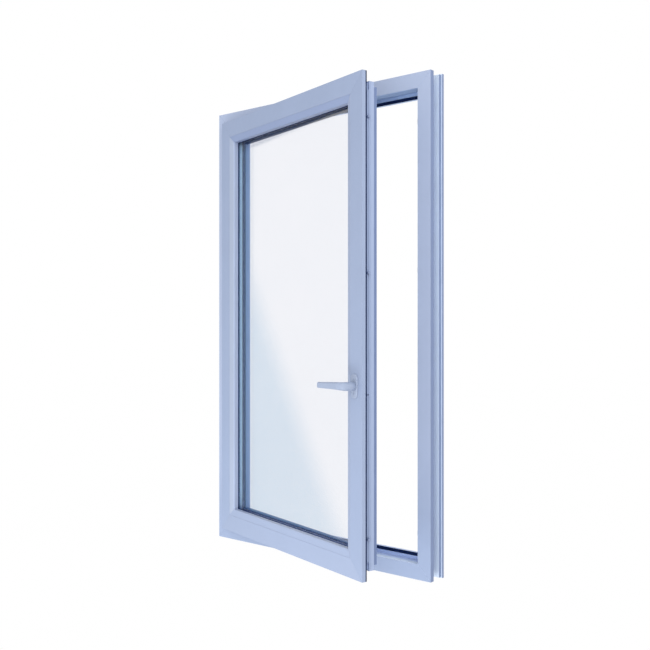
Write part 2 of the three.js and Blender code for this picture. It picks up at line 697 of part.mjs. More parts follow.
// Involute teeth, one pointing at each rack.
function pinionOutline() {
  const involute = (angle) => Math.tan(angle) - angle;
  const baseRadius = PITCH_RADIUS * Math.cos(PRESSURE_ANGLE);
  const halfAtPitch = (PITCH / 4 - BACKLASH / 2) / PITCH_RADIUS;
  const halfAngle = (radius) => {
    const contact = Math.acos(Math.min(1, baseRadius / radius));
    return halfAtPitch + involute(PRESSURE_ANGLE) - involute(contact);
  };
  const radii = [PITCH_RADIUS - 1.5, baseRadius, PITCH_RADIUS, PITCH_RADIUS + 0.55, PITCH_RADIUS + 1.1];
  const points = [];
  for (let tooth = 0; tooth < TEETH; tooth += 1) {
    const centre = Math.PI / 2 + tooth * 2 * Math.PI / TEETH;
    const rising = radii.map((radius) => [radius, centre - halfAngle(radius)]);
    const falling = radii.map((radius) => [radius, centre + halfAngle(radius)]).reverse();
    [...rising, ...falling].forEach(([radius, angle]) => {
      points.push([radius * Math.cos(angle), handleInset + radius * Math.sin(angle)]);
    });
  }
  return points;
}

// A square bar along the depth axis, about the handle axis.
function squareBar(across, front, back) {
  const half = across / 2;
  return block([-half, front, handleInset - half], [half, back, handleInset + half]);
}

function pinion() {
  const front = ROD.front + 0.5;
  const back = ROD.back - 0.5;
  return cut(plate(pinionOutline(), front, back), squareBar(SPINDLE + 2 * GAP, front - 1, back + 1));
}

place(handleGroup, 'drive_pinion', pinion(), 'steel');
place(handleGroup, 'handle_spindle', squareBar(SPINDLE, -29, ROD.back + 0.4), 'steel');

// ---- Locking cams on the rods: short mushroom studs pointing at the jamb ----

const CAM_RADIUS = 4.6;
const LIP_HEIGHT = 8;               // keep's lip beyond the rebate

function lockingCam() {
  const stem = CAM_RADIUS - 0.6;
  const cam = turned([
    [0, GAP], [stem, GAP], [stem, 5.2], [CAM_RADIUS, 5.8], [CAM_RADIUS, 7.4], [stem, 8], [0, 8],
  ]);
  cam.rotateX(Math.PI);
  cam.translate(0, (ROD.front + ROD.back) / 2, ROD.near);
  return cam;
}

Object.entries(CAM_HEIGHTS).forEach(([position, height]) => {
  place(lockEdge, `${position}_locking_cam`, lockingCam(), 'steel').position.x = height - MIDDLE;
});

// ---- Keeps on the lock jamb: a base on the rebate and a lip that holds the cam when locked ----

function lockKeep() {
  const camFront = (ROD.front + ROD.back) / 2 - SASH_PROUD - CAM_RADIUS;
  const base = block([-26, 5, FRAME_FACE + GAP], [26, 30, FRAME_FACE + 2]);
  const lip = block([-8, camFront - 3.2, FRAME_FACE + 1.7], [8, camFront - 0.6, FRAME_FACE + LIP_HEIGHT]);
  return join(base, lip);
}

const jambEdge = edgeGroup(frame, 'lock', FRAME_WIDTH, FRAME_HEIGHT);
Object.entries(CAM_HEIGHTS).forEach(([position, height]) => {
  const travel = height > HANDLE_HEIGHT ? ROD_TRAVEL : -ROD_TRAVEL;
  place(jambEdge, `${position}_lock_keep`, lockKeep(), 'steel').position.x = height + travel - MIDDLE;
});

// ---- Handle: base plate, cover and screws on the sash, lever on the spindle ----

const COVER_DEPTH = 6.5;
const BASE_DEPTH = 2;
const ROSETTE = { across: 30, along: 70, radius: 13 };

const shiftToAxis = ([up, inset]) => [up, inset + handleInset];

function rosetteBase() {
  const outline = roundedRectangle(ROSETTE.along - 7, ROSETTE.across - 7, ROSETTE.radius - 3.5);
  const disc = plate(outline.map(shiftToAxis), -BASE_DEPTH - GAP, -GAP);
  const spindleHole = depthHole(0, handleInset, 6.5, -BASE_DEPTH - 1, 1);
  const holes = [-1, 1].map((side) => {
    return depthHole(side * SCREW_SPACING / 2, handleInset, SCREW_RADIUS + GAP, -BASE_DEPTH - 1, 1);
  });
  return cut(disc, spindleHole, ...holes);
}

function rosetteCover() {
  const outline = roundedRectangle(ROSETTE.along, ROSETTE.across, ROSETTE.radius, 6).map(shiftToAxis);
  const inside = roundedRectangle(ROSETTE.along - 5, ROSETTE.across - 5, ROSETTE.radius - 2.5);
  const cavity = inside.map(shiftToAxis);
  const hollow = plate(cavity, -COVER_DEPTH + 1.8, 1);
  const crown = plate(outline, -COVER_DEPTH, -GAP, 1);
  return cut(crown, hollow, depthHole(0, handleInset, 6.5, -COVER_DEPTH - 1, 0));
}

function handleScrew(side) {
  const head = -BASE_DEPTH - 2 * GAP;
  const screw = turned([
    [0, head - 1.8], [3.2, head - 1.8], [4, head - 1], [4, head], [SCREW_RADIUS, head], [SCREW_RADIUS, 30.6],
    [0, 30.6],
  ], 20);
  screw.rotateX(-Math.PI / 2);
  screw.translate(side * SCREW_SPACING / 2, 0, handleInset);
  return screw;
}

place(handleGroup, 'rosette_base', rosetteBase(), 'steel');
place(handleGroup, 'rosette_cover', rosetteCover(), 'handle');
place(handleGroup, 'handle_upper_screw', handleScrew(1), 'steel');
place(handleGroup, 'handle_lower_screw', handleScrew(-1), 'steel');

const LEVER = {
  neckFront: COVER_DEPTH + GAP,     // out from the sash face
  standOff: 48,                     // sash face to the middle of the grip
  bend: 17,                         // radius of the bend from neck to grip
  length: 110,                      // handle axis to the tip
  neck: 26.5,                       // diameter at the rosette
  gripHeight: 21.6,                  // next to the bend; the grip tapers to its tip
  tipHeight: 17,
  gripThickness: 15,
  tipThickness: 12.6,
  lift: 2,                          // middle of the grip above the handle axis, next to the bend
};

// The lever's centre line goes straight out from the sash and bends towards the hinges.
// A station is [inwards, out, direction, height across, thickness, lift].
function leverStations() {
  const { neck, neckFront, bend, standOff, gripHeight, gripThickness, lift } = LEVER;
  const neckTop = standOff - bend;
  const neckHeight = neck - 1.6;    // where the bend starts
  const neckThickness = neck - 2.5;
  const neckLift = lift / 4;
  const stations = [[0, neckFront, 0, neck, neck, 0], [0, neckTop, 0, neckHeight, neckThickness, neckLift]];
  const bendSteps = 6;
  for (let step = 1; step <= bendSteps; step += 1) {
    const part = step / bendSteps;
    const angle = part * Math.PI / 2;
    const inwards = bend * (1 - Math.cos(angle));
    const out = neckTop + bend * Math.sin(angle);
    const height = neckHeight + (gripHeight - neckHeight) * part;
    const thickness = neckThickness + (gripThickness - neckThickness) * part;
    stations.push([inwards, out, angle, height, thickness, neckLift + (lift - neckLift) * part]);
  }
  const gripSteps = 5;
  for (let step = 1; step <= gripSteps; step += 1) {
    const part = step / gripSteps;
    const along = bend + (LEVER.length - 2 - bend) * part;
    const height = gripHeight + (LEVER.tipHeight - gripHeight) * part;
    const thickness = gripThickness + (LEVER.tipThickness - gripThickness) * part;
    stations.push([along, standOff, Math.PI / 2, height, thickness, lift * (1 - part)]);
  }
  stations.push([LEVER.length, standOff, Math.PI / 2, LEVER.tipHeight - 4, LEVER.tipThickness - 4, 0]);
  return stations;
}

// One ring of the lever: a rounded oblong across the centre line.
function leverRing([inwards, out, direction, height, thickness, lift], count) {
  const ring = [];
  const squareness = direction > 0 ? 0.75 : 1;
  const soften = (value) => Math.sign(value) * Math.abs(value) ** squareness;
  for (let index = 0; index < count; index += 1) {
    const angle = index / count * 2 * Math.PI;
    const up = lift + soften(Math.cos(angle)) * height / 2;
    const side = soften(Math.sin(angle)) * thickness / 2;
    const ringIn = inwards + side * Math.cos(direction);
    const ringOut = out - side * Math.sin(direction);
    ring.push([up, -ringOut, handleInset + ringIn]);
  }
  return ring;
}

function handleLever() {
  const count = 20;
  const rings = leverStations().map((station) => leverRing(station, count));
  const corners = [];
  for (let row = 0; row < rings.length - 1; row += 1) {
    for (let index = 0; index < count; index += 1) {
      const next = (index + 1) % count;
      const [a, b] = [rings[row][index], rings[row][next]];
      const [c, d] = [rings[row + 1][next], rings[row + 1][index]];
      corners.push(...a, ...b, ...c, ...a, ...c, ...d);
    }
  }
  const last = rings[rings.length - 1];
  for (let index = 1; index < count - 1; index += 1) {
    corners.push(...rings[0][0], ...rings[0][index + 1], ...rings[0][index]);
    corners.push(...last[0], ...last[index], ...last[index + 1]);
  }
  const socket = squareBar(SPINDLE + 2 * GAP, -30, 0);
  return cut(fromCorners(corners), socket);
}

place(handleGroup, 'handle_lever', handleLever(), 'handle');

export default group;
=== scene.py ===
"""Looks of the casement window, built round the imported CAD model. Metres, +Z up."""
import json
import math

import bmesh
import bpy
from mathutils import Matrix, Vector


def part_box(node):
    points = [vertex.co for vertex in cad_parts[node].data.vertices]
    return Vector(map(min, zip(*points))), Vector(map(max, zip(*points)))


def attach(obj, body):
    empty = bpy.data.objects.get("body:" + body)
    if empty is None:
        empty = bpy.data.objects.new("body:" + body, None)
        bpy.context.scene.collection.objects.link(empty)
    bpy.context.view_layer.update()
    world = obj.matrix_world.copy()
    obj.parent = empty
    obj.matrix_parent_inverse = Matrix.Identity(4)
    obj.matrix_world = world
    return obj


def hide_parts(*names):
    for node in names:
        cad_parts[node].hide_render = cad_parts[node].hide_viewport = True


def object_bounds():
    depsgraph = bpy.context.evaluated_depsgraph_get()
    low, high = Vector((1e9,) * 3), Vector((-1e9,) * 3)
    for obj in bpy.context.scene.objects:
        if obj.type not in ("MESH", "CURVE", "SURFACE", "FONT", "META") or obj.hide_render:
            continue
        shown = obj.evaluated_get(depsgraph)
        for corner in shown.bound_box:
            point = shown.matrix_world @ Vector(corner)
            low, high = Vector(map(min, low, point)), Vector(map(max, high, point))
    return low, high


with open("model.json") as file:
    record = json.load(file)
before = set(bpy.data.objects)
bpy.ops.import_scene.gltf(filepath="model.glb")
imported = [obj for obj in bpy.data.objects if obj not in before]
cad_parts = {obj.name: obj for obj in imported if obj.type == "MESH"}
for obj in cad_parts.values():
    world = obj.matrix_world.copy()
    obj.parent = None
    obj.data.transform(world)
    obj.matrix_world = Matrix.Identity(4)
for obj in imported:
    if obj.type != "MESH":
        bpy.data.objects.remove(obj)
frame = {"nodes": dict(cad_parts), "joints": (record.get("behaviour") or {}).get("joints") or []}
CAD_LOW, CAD_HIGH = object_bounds()

MM = 0.001
NODES = frame["nodes"]
JOINTS = {joint["name"]: joint for joint in frame["joints"]}


# ---- Camera: level, 50 mm lens, from the room side and to the right ----

CAMERA_PLACE = (1.922, -2.219, 0.753)
CAMERA_TURN = math.radians(40.33)
LENS_MM = 50
SENSOR_MM = 36


def make_camera():
    data = bpy.data.cameras.new("camera")
    data.lens = LENS_MM
    data.sensor_width = SENSOR_MM
    camera = bpy.data.objects.new("camera", data)
    camera.location = CAMERA_PLACE
    camera.rotation_euler = (math.pi / 2, 0, CAMERA_TURN)
    bpy.context.scene.collection.objects.link(camera)
    bpy.context.scene.camera = camera


make_camera()


# ---- Local frames, from the record's joints ----

UP = Vector((0, 0, 1))
HANDLE = JOINTS["handle_turn"]
HANDLE_PLACE = Vector(HANDLE["pos_m"])
BEHIND = Vector(HANDLE["axis"]).normalized()      # into the sash, towards the outside
TO_HINGE = UP.cross(BEHIND)                       # across the sash, towards its hinges
HINGE_PLACE = Vector(JOINTS["sash_turn"]["pos_m"])


def axes_matrix(place, x_axis, y_axis, z_axis):
    matrix = Matrix((x_axis, y_axis, z_axis)).transposed().to_4x4()
    matrix.translation = place
    return matrix


# On the sash face at the handle: X towards the hinges, Y up, Z out into the room.
HANDLE_FRAME = axes_matrix(HANDLE_PLACE, TO_HINGE, UP, -BEHIND)


# ---- Mesh helpers ----

def new_piece(name, mesh_data, matrix=None):
    """Turns a bmesh into an object; the matrix is baked into its vertices."""
    mesh = bpy.data.meshes.new(name)
    if matrix is not None:
        mesh_data.transform(matrix)
    bmesh.ops.recalc_face_normals(mesh_data, faces=mesh_data.faces)
    mesh_data.to_mesh(mesh)
    mesh_data.free()
    piece = bpy.data.objects.new(name, mesh)
    bpy.context.scene.collection.objects.link(piece)
    return piece


def loft(rings, close_start=True, close_end=True):
    """A bmesh skin through rings of points, all of one length."""
    made = bmesh.new()
    rows = [[made.verts.new(point) for point in ring] for ring in rings]
    count = len(rings[0])
    for row, after in zip(rows, rows[1:]):
        for index in range(count):
            following = (index + 1) % count
            made.faces.new((row[index], row[following], after[following], after[index]))
    if close_start:
        made.faces.new(reversed(rows[0]))
    if close_end:
        made.faces.new(rows[-1])
    return made


RING_POINTS = 32


def polar_ring(radius, height, hexagonal=False):
    """A circle, or a hexagon of that inner radius, at one height."""
    ring = []
    for index in range(RING_POINTS):
        angle = 2 * math.pi * index / RING_POINTS
        reach = radius
        if hexagonal:
            reach = radius / math.cos(angle % (math.pi / 3) - math.pi / 6)
        ring.append((reach * math.cos(angle), reach * math.sin(angle), height))
    return ring


def smooth(piece, angle):
    """Smooth shading, with sharp edges where faces meet at more than an angle in degrees."""
    for polygon in piece.data.polygons:
        polygon.use_smooth = True
    piece.data.set_sharp_from_angle(angle=math.radians(angle))


def give(piece, material):
    piece.data.materials.clear()
    piece.data.materials.append(material)


# ---- Node helpers for materials ----

NOISE_LOW, NOISE_HIGH = 0.3, 0.7                  # a noise stays mostly between these
SOFT_EDGE = 0.5 * MM                              # half the width of the edge between two tones


class Nodes:
    """Adds nodes to one material, and links them by socket name."""

    def __init__(self, name):
        self.material = bpy.data.materials.new(name)
        self.material.use_nodes = True
        self.tree = self.material.node_tree
        self.shader = self.tree.nodes["Principled BSDF"]
        source = self.tree.nodes.new("ShaderNodeTexCoord")
        self.coordinates = source.outputs["Object"]
        self.normals = source.outputs["Normal"]

    def link(self, source, target):
        self.tree.links.new(source, target)

    def noise(self, scale, detail=3.0):
        node = self.tree.nodes.new("ShaderNodeTexNoise")
        node.inputs["Scale"].default_value = scale
        node.inputs["Detail"].default_value = detail
        node.inputs["Roughness"].default_value = 0.55
        self.link(self.coordinates, node.inputs["Vector"])
        return node.outputs["Fac"]

    def stretched_noise(self, scale, stretch):
        """Noise whose grain is drawn out along the axes that have a small stretch value."""
        mapping = self.tree.nodes.new("ShaderNodeMapping")
        mapping.inputs["Scale"].default_value = stretch
        self.link(self.coordinates, mapping.inputs["Vector"])
        node = self.tree.nodes.new("ShaderNodeTexNoise")
        node.inputs["Scale"].default_value = scale
        node.inputs["Detail"].default_value = 4.0
        self.link(mapping.outputs["Vector"], node.inputs["Vector"])
        return node.outputs["Fac"]

    def ramp(self, source, low, high, start=NOISE_LOW, end=NOISE_HIGH):
        """A colour between low and high, for a source between start and end."""
        node = self.tree.nodes.new("ShaderNodeValToRGB")
        first, last = node.color_ramp.elements
        first.position, last.position = start, end
        first.color = (*low, 1)
        last.color = (*high, 1)
        self.link(source, node.inputs["Fac"])
        return node.outputs["Color"]

    def spread(self, source, low, high):
        """A value between low and high, from a noise."""
        node = self.tree.nodes.new("ShaderNodeMapRange")
        node.inputs["From Min"].default_value = NOISE_LOW
        node.inputs["From Max"].default_value = NOISE_HIGH
        node.inputs["To Min"].default_value = low
        node.inputs["To Max"].default_value = high
        self.link(source, node.inputs["Value"])
        return node.outputs["Result"]

    def math(self, operation, first, second=0.0):
        node = self.tree.nodes.new("ShaderNodeMath")
        node.operation = operation
        for socket, value in zip(node.inputs, (first, second)):
            if hasattr(value, "links"):
                self.link(value, socket)
            else:
                socket.default_value = value
        return node.outputs["Value"]

    def along(self, vector, direction):
        """The part of a vector socket that lies along a fixed direction."""
        node = self.tree.nodes.new("ShaderNodeVectorMath")
        node.operation = "DOT_PRODUCT"
        self.link(vector, node.inputs[0])
        node.inputs[1].default_value = direction
        return node.outputs["Value"]

    def step(self, value, start, end):
        """0 below start and 1 above end, smooth between them."""
        node = self.tree.nodes.new("ShaderNodeMapRange")
        node.interpolation_type = "SMOOTHSTEP"
        node.inputs["From Min"].default_value = start
        node.inputs["From Max"].default_value = end
        self.link(value, node.inputs["Value"])
        return node.outputs["Result"]

    def mix(self, factor, plain, other):
        """The plain colour where the factor is 0 and the other one where it is 1."""
        node = self.tree.nodes.new("ShaderNodeMix")
        node.data_type = "RGBA"
        self.link(factor, node.inputs["Factor"])
        plain_socket, other_socket = node.inputs[6:8]
        for socket, value in ((plain_socket, plain), (other_socket, other)):
            if hasattr(value, "links"):
                self.link(value, socket)
            else:
                socket.default_value = (*value, 1)
        return node.outputs[2]

    def facing(self, direction):
        """1 on surfaces that face a direction, and 0 on those more than about 80 degrees off it."""
        return self.step(self.along(self.normals, direction), 0.2, 0.5)

    def beyond(self, direction, place):
        """1 on the parts further than a place along a direction."""
        return self.step(self.along(self.coordinates, direction), place - SOFT_EDGE, place + SOFT_EDGE)

    def bump(self, source, depth, strength, under=None):
        node = self.tree.nodes.new("ShaderNodeBump")
        node.inputs["Strength"].default_value = strength
        node.inputs["Distance"].default_value = depth
        self.link(source, node.inputs["Height"])
        if under is not None:
            self.link(under, node.inputs["Normal"])
        return node.outputs["Normal"]

    def set(self, **values):
        """Sets or links the shader's sockets, and returns the finished material."""
        for name, value in values.items():
            socket = self.shader.inputs[name.replace("_", " ")]
            if hasattr(value, "links"):
                self.link(value, socket)
            else:
                socket.default_value = value
        return self.material


def shades(colour, amount):
    """A darker and a lighter shade of a colour."""
    return [tuple(max(0.0, part * (1 + side * amount)) for part in colour) for side in (-1, 1)]


# ---- Materials ----

# Height over which the painted shade at the frame's foot fades out.
FOOT_SHADE_HEIGHT = 0.45


def powder_coat(name, colour, roughness, edges=(), gloss=0.45, foot=None):
    """Satin powder coat: a fine orange-peel skin, with faint clouds of shade and gloss.

    edges lists (direction, axis, place, tone): surfaces facing that way, beyond the place, take the tone,
    a painted light or shade.
    foot is a painted shade that the coat fades to at its lower end.
    """
    n = Nodes(name)
    clouds = n.ramp(n.noise(9.0, detail=5.0), *shades(colour, 0.02))
    # Painted shade: the coat darkens towards its foot.
    if foot:
        raised = n.step(n.along(n.coordinates, UP), 0.0, FOOT_SHADE_HEIGHT)
        clouds = n.mix(raised, n.ramp(n.noise(9.0, detail=5.0), *shades(foot, 0.02)), clouds)
    # Painted light and shade: the surfaces that edges lists take their tones.
    for direction, axis, place, tone in edges:
        mask = n.math("MULTIPLY", n.beyond(axis, place), n.facing(direction))
        clouds = n.mix(mask, clouds, n.ramp(n.noise(14.0, detail=4.0), *shades(tone, 0.03)))
    peel = n.bump(n.noise(520.0, detail=2.0), 0.06 * MM, 0.5)
    speckle = n.bump(n.noise(2600.0, detail=1.0), 0.02 * MM, 0.4, under=peel)
    return n.set(
        Base_Color=clouds, Roughness=n.spread(n.noise(60.0), roughness - 0.05, roughness + 0.05),
        Normal=speckle, Specular_IOR_Level=gloss,
    )


def rubber(name, colour, ends=()):
    """Extruded rubber: matt, slightly dusty, with fine die lines.

    ends lists (direction, place, tone): the parts beyond the place take the tone, a painted light or
    shade.
    """
    n = Nodes(name)
    shade = n.ramp(n.noise(130.0), *shades(colour, 0.3))
    for direction, place, tone in ends:
        shade = n.mix(n.beyond(direction, place), shade, n.ramp(n.noise(130.0), *shades(tone, 0.1)))
    return n.set(
        Base_Color=shade, Roughness=n.spread(n.noise(300.0), 0.55, 0.75),
        Normal=n.bump(n.noise(1500.0), 0.04 * MM, 0.6), Specular_IOR_Level=0.02,
    )


def zinc(name, colour):
    """Zinc-plated steel with a drawn grain."""
    n = Nodes(name)
    low, high = shades(colour, 0.12)
    grain = n.stretched_noise(900.0, (1.0, 1.0, 0.04))
    return n.set(
        Base_Color=n.ramp(n.noise(45.0, detail=6.0), low, high), Metallic=0.85,
        Roughness=n.spread(grain, 0.26, 0.42),
        Normal=n.bump(grain, 0.02 * MM, 0.5),
    )


def nylon(name, colour):
    """Moulded plastic with a fine spark-eroded texture."""
    n = Nodes(name)
    low, high = shades(colour, 0.08)
    return n.set(
        Base_Color=n.ramp(n.noise(80.0), low, high),
        Roughness=n.spread(n.noise(400.0), 0.48, 0.62), Normal=n.bump(n.noise(1800.0), 0.04 * MM, 0.5),
    )


def clear_glass(name):
    """Float glass with a very faint waviness."""
    n = Nodes(name)
    low, high = (0.930, 0.937, 0.963), (0.940, 0.945, 0.968)
    return n.set(
        Base_Color=n.ramp(n.noise(3.0), low, high), Roughness=0.0, IOR=1.45, Transmission_Weight=1.0,
        Normal=n.bump(n.noise(2.2, detail=0.0), 0.2 * MM, 0.15),
    )


def perforated_spacer(name, colour, lower, upper):
    """Anodised spacer bar with rows of fine perforations; its lower and upper runs, where they face up
    and down, are deeper in tone: painted shade.
    """
    n = Nodes(name)
    dots = n.tree.nodes.new("ShaderNodeTexVoronoi")
    dots.inputs["Scale"].default_value = 260.0
    dots.inputs["Randomness"].default_value = 0.0
    n.link(n.coordinates, dots.inputs["Vector"])
    low, high = shades(colour, 0.08)
    plain = n.ramp(dots.outputs["Distance"], low, high, 0.05, 0.35)
    # Painted shade: surfaces facing up take the lower tone and those facing down the upper one.
    return n.set(
        Base_Color=n.mix(n.facing(-UP), n.mix(n.facing(UP), plain, lower), upper), Metallic=1.0,
        Roughness=n.spread(n.stretched_noise(600.0, (1.0, 1.0, 0.05)), 0.35, 0.5),
        Normal=n.bump(dots.outputs["Distance"], 0.1 * MM, 0.4), Specular_IOR_Level=0.1,
    )


# Depths behind the sash face: the rear strip's shoulder, and the leg behind the glass.
SASH_FACE_DEPTH = HANDLE_PLACE.dot(BEHIND)
SHOULDER = SASH_FACE_DEPTH + 58 * MM
LEG = SASH_FACE_DEPTH + 50 * MM
LEG_MIDDLE = SASH_FACE_DEPTH + 56 * MM

# Parts of the window, each as (direction, place) for Nodes.beyond.
SIDEWAYS = Vector((1, 0, 0))
INTO_ROOM = Vector((0, -1, 0))
ANYWHERE = (UP, -9.0)
CHANNEL = (SIDEWAYS, CAD_HIGH[0] - 30 * MM)
NEAR_HEAD = (UP, CAD_HIGH[2] - 140 * MM)
NEAR_SILL = (-UP, -CAD_LOW[2] - 140 * MM)

# One powder coat all over; its tones below differ by part as painted light and shade: the frame is
# lighter than the sash and beads, its foot darker, and the sash's rear shells lighter than the sash face.
COAT_FRAME_RGB = (0.353, 0.415, 0.568)
FOOT_SHADE_RGB = (0.275, 0.340, 0.490)
COAT_BEAD_RGB = (0.272, 0.328, 0.468)
COAT_REAR_RGB = (0.312, 0.376, 0.540)
SIDE_SHADE_RGB = (0.160, 0.212, 0.365)
HEAD_REVEAL_LIGHT_RGB = (0.320, 0.450, 0.720)
SILL_REVEAL_LIGHT_RGB = (0.620, 0.740, 0.930)
HEAD_STOP_LIGHT_RGB = (0.390, 0.530, 0.800)
SILL_STOP_LIGHT_RGB = (0.480, 0.600, 0.900)
CHANNEL_LIGHT_RGB = (0.550, 0.640, 0.780)
NAVY_SHADE_RGB = (0.012, 0.024, 0.082)
SLATE_SHADE_RGB = (0.110, 0.190, 0.440)
MID_BLUE_SHADE_RGB = (0.170, 0.310, 0.600)
PALE_BLUE_LIGHT_RGB = (0.400, 0.550, 0.860)
BEAD_SIDE_LIGHT_RGB = (0.370, 0.440, 0.610)
TOP_BEAD_SHADE_RGB = (0.228, 0.286, 0.450)
HINGE_BEAD_LIGHT_RGB = (0.300, 0.350, 0.455)

# Painted light and shade: the frame's sides are darker, its reveals, stops and channel wall lighter and
# bluer, and the sash's rear strips and glazing legs darker, with a lighter nose on the hinge stile's leg.
JAMB_SIDE_SHADES = [(SIDEWAYS, *ANYWHERE, SIDE_SHADE_RGB), (-SIDEWAYS, *ANYWHERE, SIDE_SHADE_RGB)]
FRONT_REVEAL_LIGHTS = [(UP, *NEAR_SILL, SILL_REVEAL_LIGHT_RGB), (-UP, *NEAR_HEAD, HEAD_REVEAL_LIGHT_RGB)]
STOP_REVEAL_LIGHTS = [(UP, *NEAR_SILL, SILL_STOP_LIGHT_RGB), (-UP, *NEAR_HEAD, HEAD_STOP_LIGHT_RGB)]
STOP_FACE_LIGHTS = [
    (INTO_ROOM, *NEAR_HEAD, HEAD_STOP_LIGHT_RGB), (INTO_ROOM, *NEAR_SILL, SILL_STOP_LIGHT_RGB),
    (INTO_ROOM, *CHANNEL, CHANNEL_LIGHT_RGB),
]
SATIN = 0.42                                      # roughness of the profiles' coat
BEAD_SATIN = 0.40
# The frame's coats carry the painted shade of its sides and foot, and the painted light of its reveals,
# stops and channel wall.
COAT_FRAME = powder_coat(
    "frame_coat", COAT_FRAME_RGB, SATIN, JAMB_SIDE_SHADES + FRONT_REVEAL_LIGHTS, foot=FOOT_SHADE_RGB
)
COAT_CHANNEL = powder_coat(
    "frame_rear_coat", COAT_FRAME_RGB, SATIN, JAMB_SIDE_SHADES + STOP_REVEAL_LIGHTS + STOP_FACE_LIGHTS
)
# Each sash member takes its own tone of the coat: painted light and shade.
SASH_LIGHT_AND_SHADE = {
    "bottom_rail": (0.280, 0.335, 0.472), "lock_stile": (0.263, 0.320, 0.460),
    "top_rail": (0.272, 0.331, 0.474), "hinge_stile": (0.274, 0.334, 0.480),
}
COAT_SASH = {
    member: powder_coat(f"{member}_coat", tone, SATIN) for member, tone in SASH_LIGHT_AND_SHADE.items()
}

# For each sash member: the way its leg faces, and the leg's tones near the glass and further back,
# painted shade except the hinge stile's lighter nose, a painted light.
LEG_LIGHT_AND_SHADE = {
    "bottom_rail": (UP, SLATE_SHADE_RGB, SLATE_SHADE_RGB), "top_rail": (-UP, NAVY_SHADE_RGB, NAVY_SHADE_RGB),
    "hinge_stile": (-TO_HINGE, NAVY_SHADE_RGB, PALE_BLUE_LIGHT_RGB),
    "lock_stile": (TO_HINGE, MID_BLUE_SHADE_RGB, MID_BLUE_SHADE_RGB),
}
COAT_LEGS = {}
for member, (inwards, painted_leg_shade, painted_nose_tone) in LEG_LIGHT_AND_SHADE.items():
    rear = [
        (-inwards, BEHIND, SHOULDER, SIDE_SHADE_RGB), (inwards, BEHIND, LEG, painted_leg_shade),
        (inwards, BEHIND, LEG_MIDDLE, painted_nose_tone),
    ]
    COAT_LEGS[member] = powder_coat(f"{member}_rear_coat", COAT_REAR_RGB, SATIN, rear, gloss=0.15)

# The polyamide bars take the stops' painted light where they face up near the sill and down near the
# head.
COAT_BREAK = powder_coat("coated_polyamide", (0.290, 0.360, 0.540), 0.55, STOP_REVEAL_LIGHTS, gloss=0.2)
# The beads' tones are painted light and shade: the top bead darker, the hinge bead and the sides of the
# hinge and bottom beads lighter.
BEAD_LIGHT_AND_SHADE = {
    "hinge": (HINGE_BEAD_LIGHT_RGB, [(-TO_HINGE, *ANYWHERE, BEAD_SIDE_LIGHT_RGB)]),
    "bottom": (COAT_BEAD_RGB, [(UP, *ANYWHERE, BEAD_SIDE_LIGHT_RGB)]),
    "top": (TOP_BEAD_SHADE_RGB, []), "lock": (COAT_BEAD_RGB, []),
}
COAT_BEADS = {
    side: powder_coat(f"{side}_bead_coat", tone, BEAD_SATIN, edges)
    for side, (tone, edges) in BEAD_LIGHT_AND_SHADE.items()
}
COAT_HANDLE = powder_coat("handle_coat", (0.285, 0.338, 0.458), 0.34)
COAT_GEAR = powder_coat("gear_coat", (0.230, 0.290, 0.450), 0.38)
RUBBER = rubber("seal_rubber", (0.006, 0.014, 0.055))
# The glazing seals are navy near the head, painted shade; the outer one is lighter near the sill, painted
# light.
INNER_SEAL = rubber("inner_seal_rubber", (0.012, 0.032, 0.120), [(*NEAR_HEAD, NAVY_SHADE_RGB)])
OUTER_SEAL_LIGHT_AND_SHADE = [(*NEAR_SILL, (0.030, 0.100, 0.380)), (*NEAR_HEAD, NAVY_SHADE_RGB)]
OUTER_SEAL = rubber("outer_seal_rubber", (0.004, 0.030, 0.190), OUTER_SEAL_LIGHT_AND_SHADE)
SEALANT = rubber("edge_sealant", (0.010, 0.018, 0.05))
GLASS = clear_glass("float_glass")
SPACER = perforated_spacer("spacer_bar", (0.455, 0.690, 1.00), SLATE_SHADE_RGB, NAVY_SHADE_RGB)
ZINC = zinc("zinc_plate", (0.40, 0.46, 0.60))
NYLON = nylon("setting_block", (0.03, 0.04, 0.07))


# ---- CAD nodes: soft edges and materials ----

FLAT_ANGLE = math.radians(0.5)
SHARP_ANGLE = math.radians(30)


def soften(node, width):
    """Merges the node's split corners, joins its flat triangles and rounds its sharp edges."""
    piece = NODES[node]
    weld = piece.modifiers.new("weld", "WELD")
    weld.merge_threshold = 0.01 * MM
    flat = piece.modifiers.new("flat", "DECIMATE")
    flat.decimate_type = "DISSOLVE"
    flat.angle_limit = FLAT_ANGLE
    bevel = piece.modifiers.new("bevel", "BEVEL")
    bevel.width = width
    bevel.segments = 3
    bevel.limit_method = "ANGLE"
    bevel.angle_limit = SHARP_ANGLE
    bevel.harden_normals = True
    weighted = piece.modifiers.new("weighted", "WEIGHTED_NORMAL")
    weighted.keep_sharp = True
    for polygon in piece.data.polygons:
        polygon.use_smooth = True


# (last words of a node's name, material, edge radius in mm); the first that fits counts.
LOOKS = [
    ("thermal_bar", COAT_BREAK, 0.2), ("outer_glazing_seal", OUTER_SEAL, 0.25),
    ("inner_glazing_seal", INNER_SEAL, 0.25), ("seal", RUBBER, 0.25),
    ("pane", GLASS, 0.3), ("spacer_bar", SPACER, 0.3), ("leaf", COAT_HANDLE, 0.4), ("pin", ZINC, 0.3),
    ("rosette_cover", COAT_HANDLE, 0.5), ("drive_rod", COAT_GEAR, 0.2), ("keep", COAT_GEAR, 0.4),
    ("cam", COAT_GEAR, 0.25),
]


SHELL_RADIUS = 0.15
BEAD_RADIUS = 0.12


